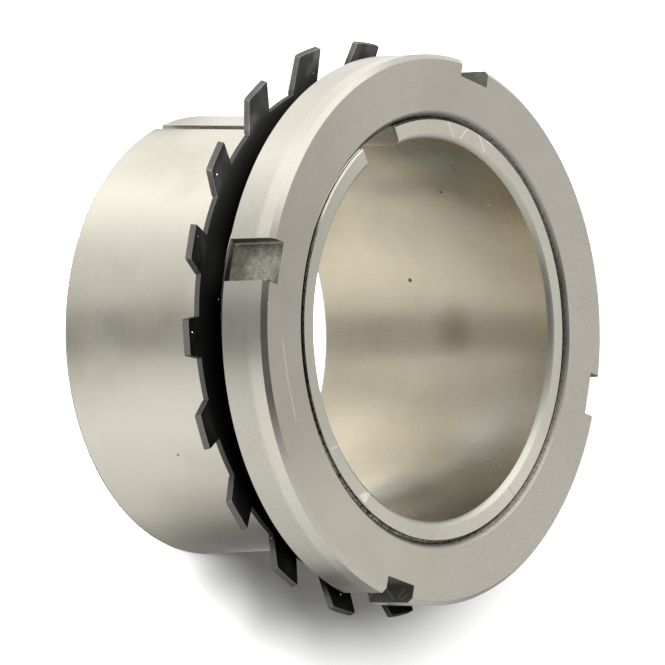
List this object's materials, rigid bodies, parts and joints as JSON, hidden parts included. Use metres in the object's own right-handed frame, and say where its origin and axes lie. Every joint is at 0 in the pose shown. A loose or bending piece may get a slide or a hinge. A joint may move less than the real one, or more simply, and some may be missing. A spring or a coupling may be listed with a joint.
{
  "type": "bearing adapter sleeve",
  "caption": "Split steel sleeve with a 1:12 cone and a threaded end, carrying a slotted ring nut and a toothed lock washer; it clamps a tapered-bore bearing on a plain shaft.",
  "frame": {"origin": "centre of the sleeve's large end face, on the bore's axis; the set stands on that face", "axes": "+Z along the bore's axis from the large end to the threaded end; +X and +Y through the nut's slots"},
  "size_m": [0.1902, 0.1899, 0.0978],
  "materials": {
    "ground_steel": "satin",
    "turned_steel": "satin",
    "black_steel": "satin"
  },
  "bodies": {
    "sleeve": {"adapter_sleeve": "ground_steel"},
    "washer": {"lock_washer": "black_steel"},
    "nut": {"lock_nut": "turned_steel"}
  },
  "joints": [
    {"name": "washer_slide", "type": "slide", "parent": "sleeve", "child": "washer", "axis": [0, 0, 1], "range_m": [-0.002, 0.02]},
    {"name": "nut_turn", "type": "hinge", "parent": "washer", "child": "nut", "pos_m": [0, 0, 0.0868], "axis": [0, 0, 1], "range_deg": [-360, 3600]}
  ],
  "couplings": [
    {"joint": "washer_slide", "follows": "nut_turn", "m_per_rad": 0.00031831}
  ]
}
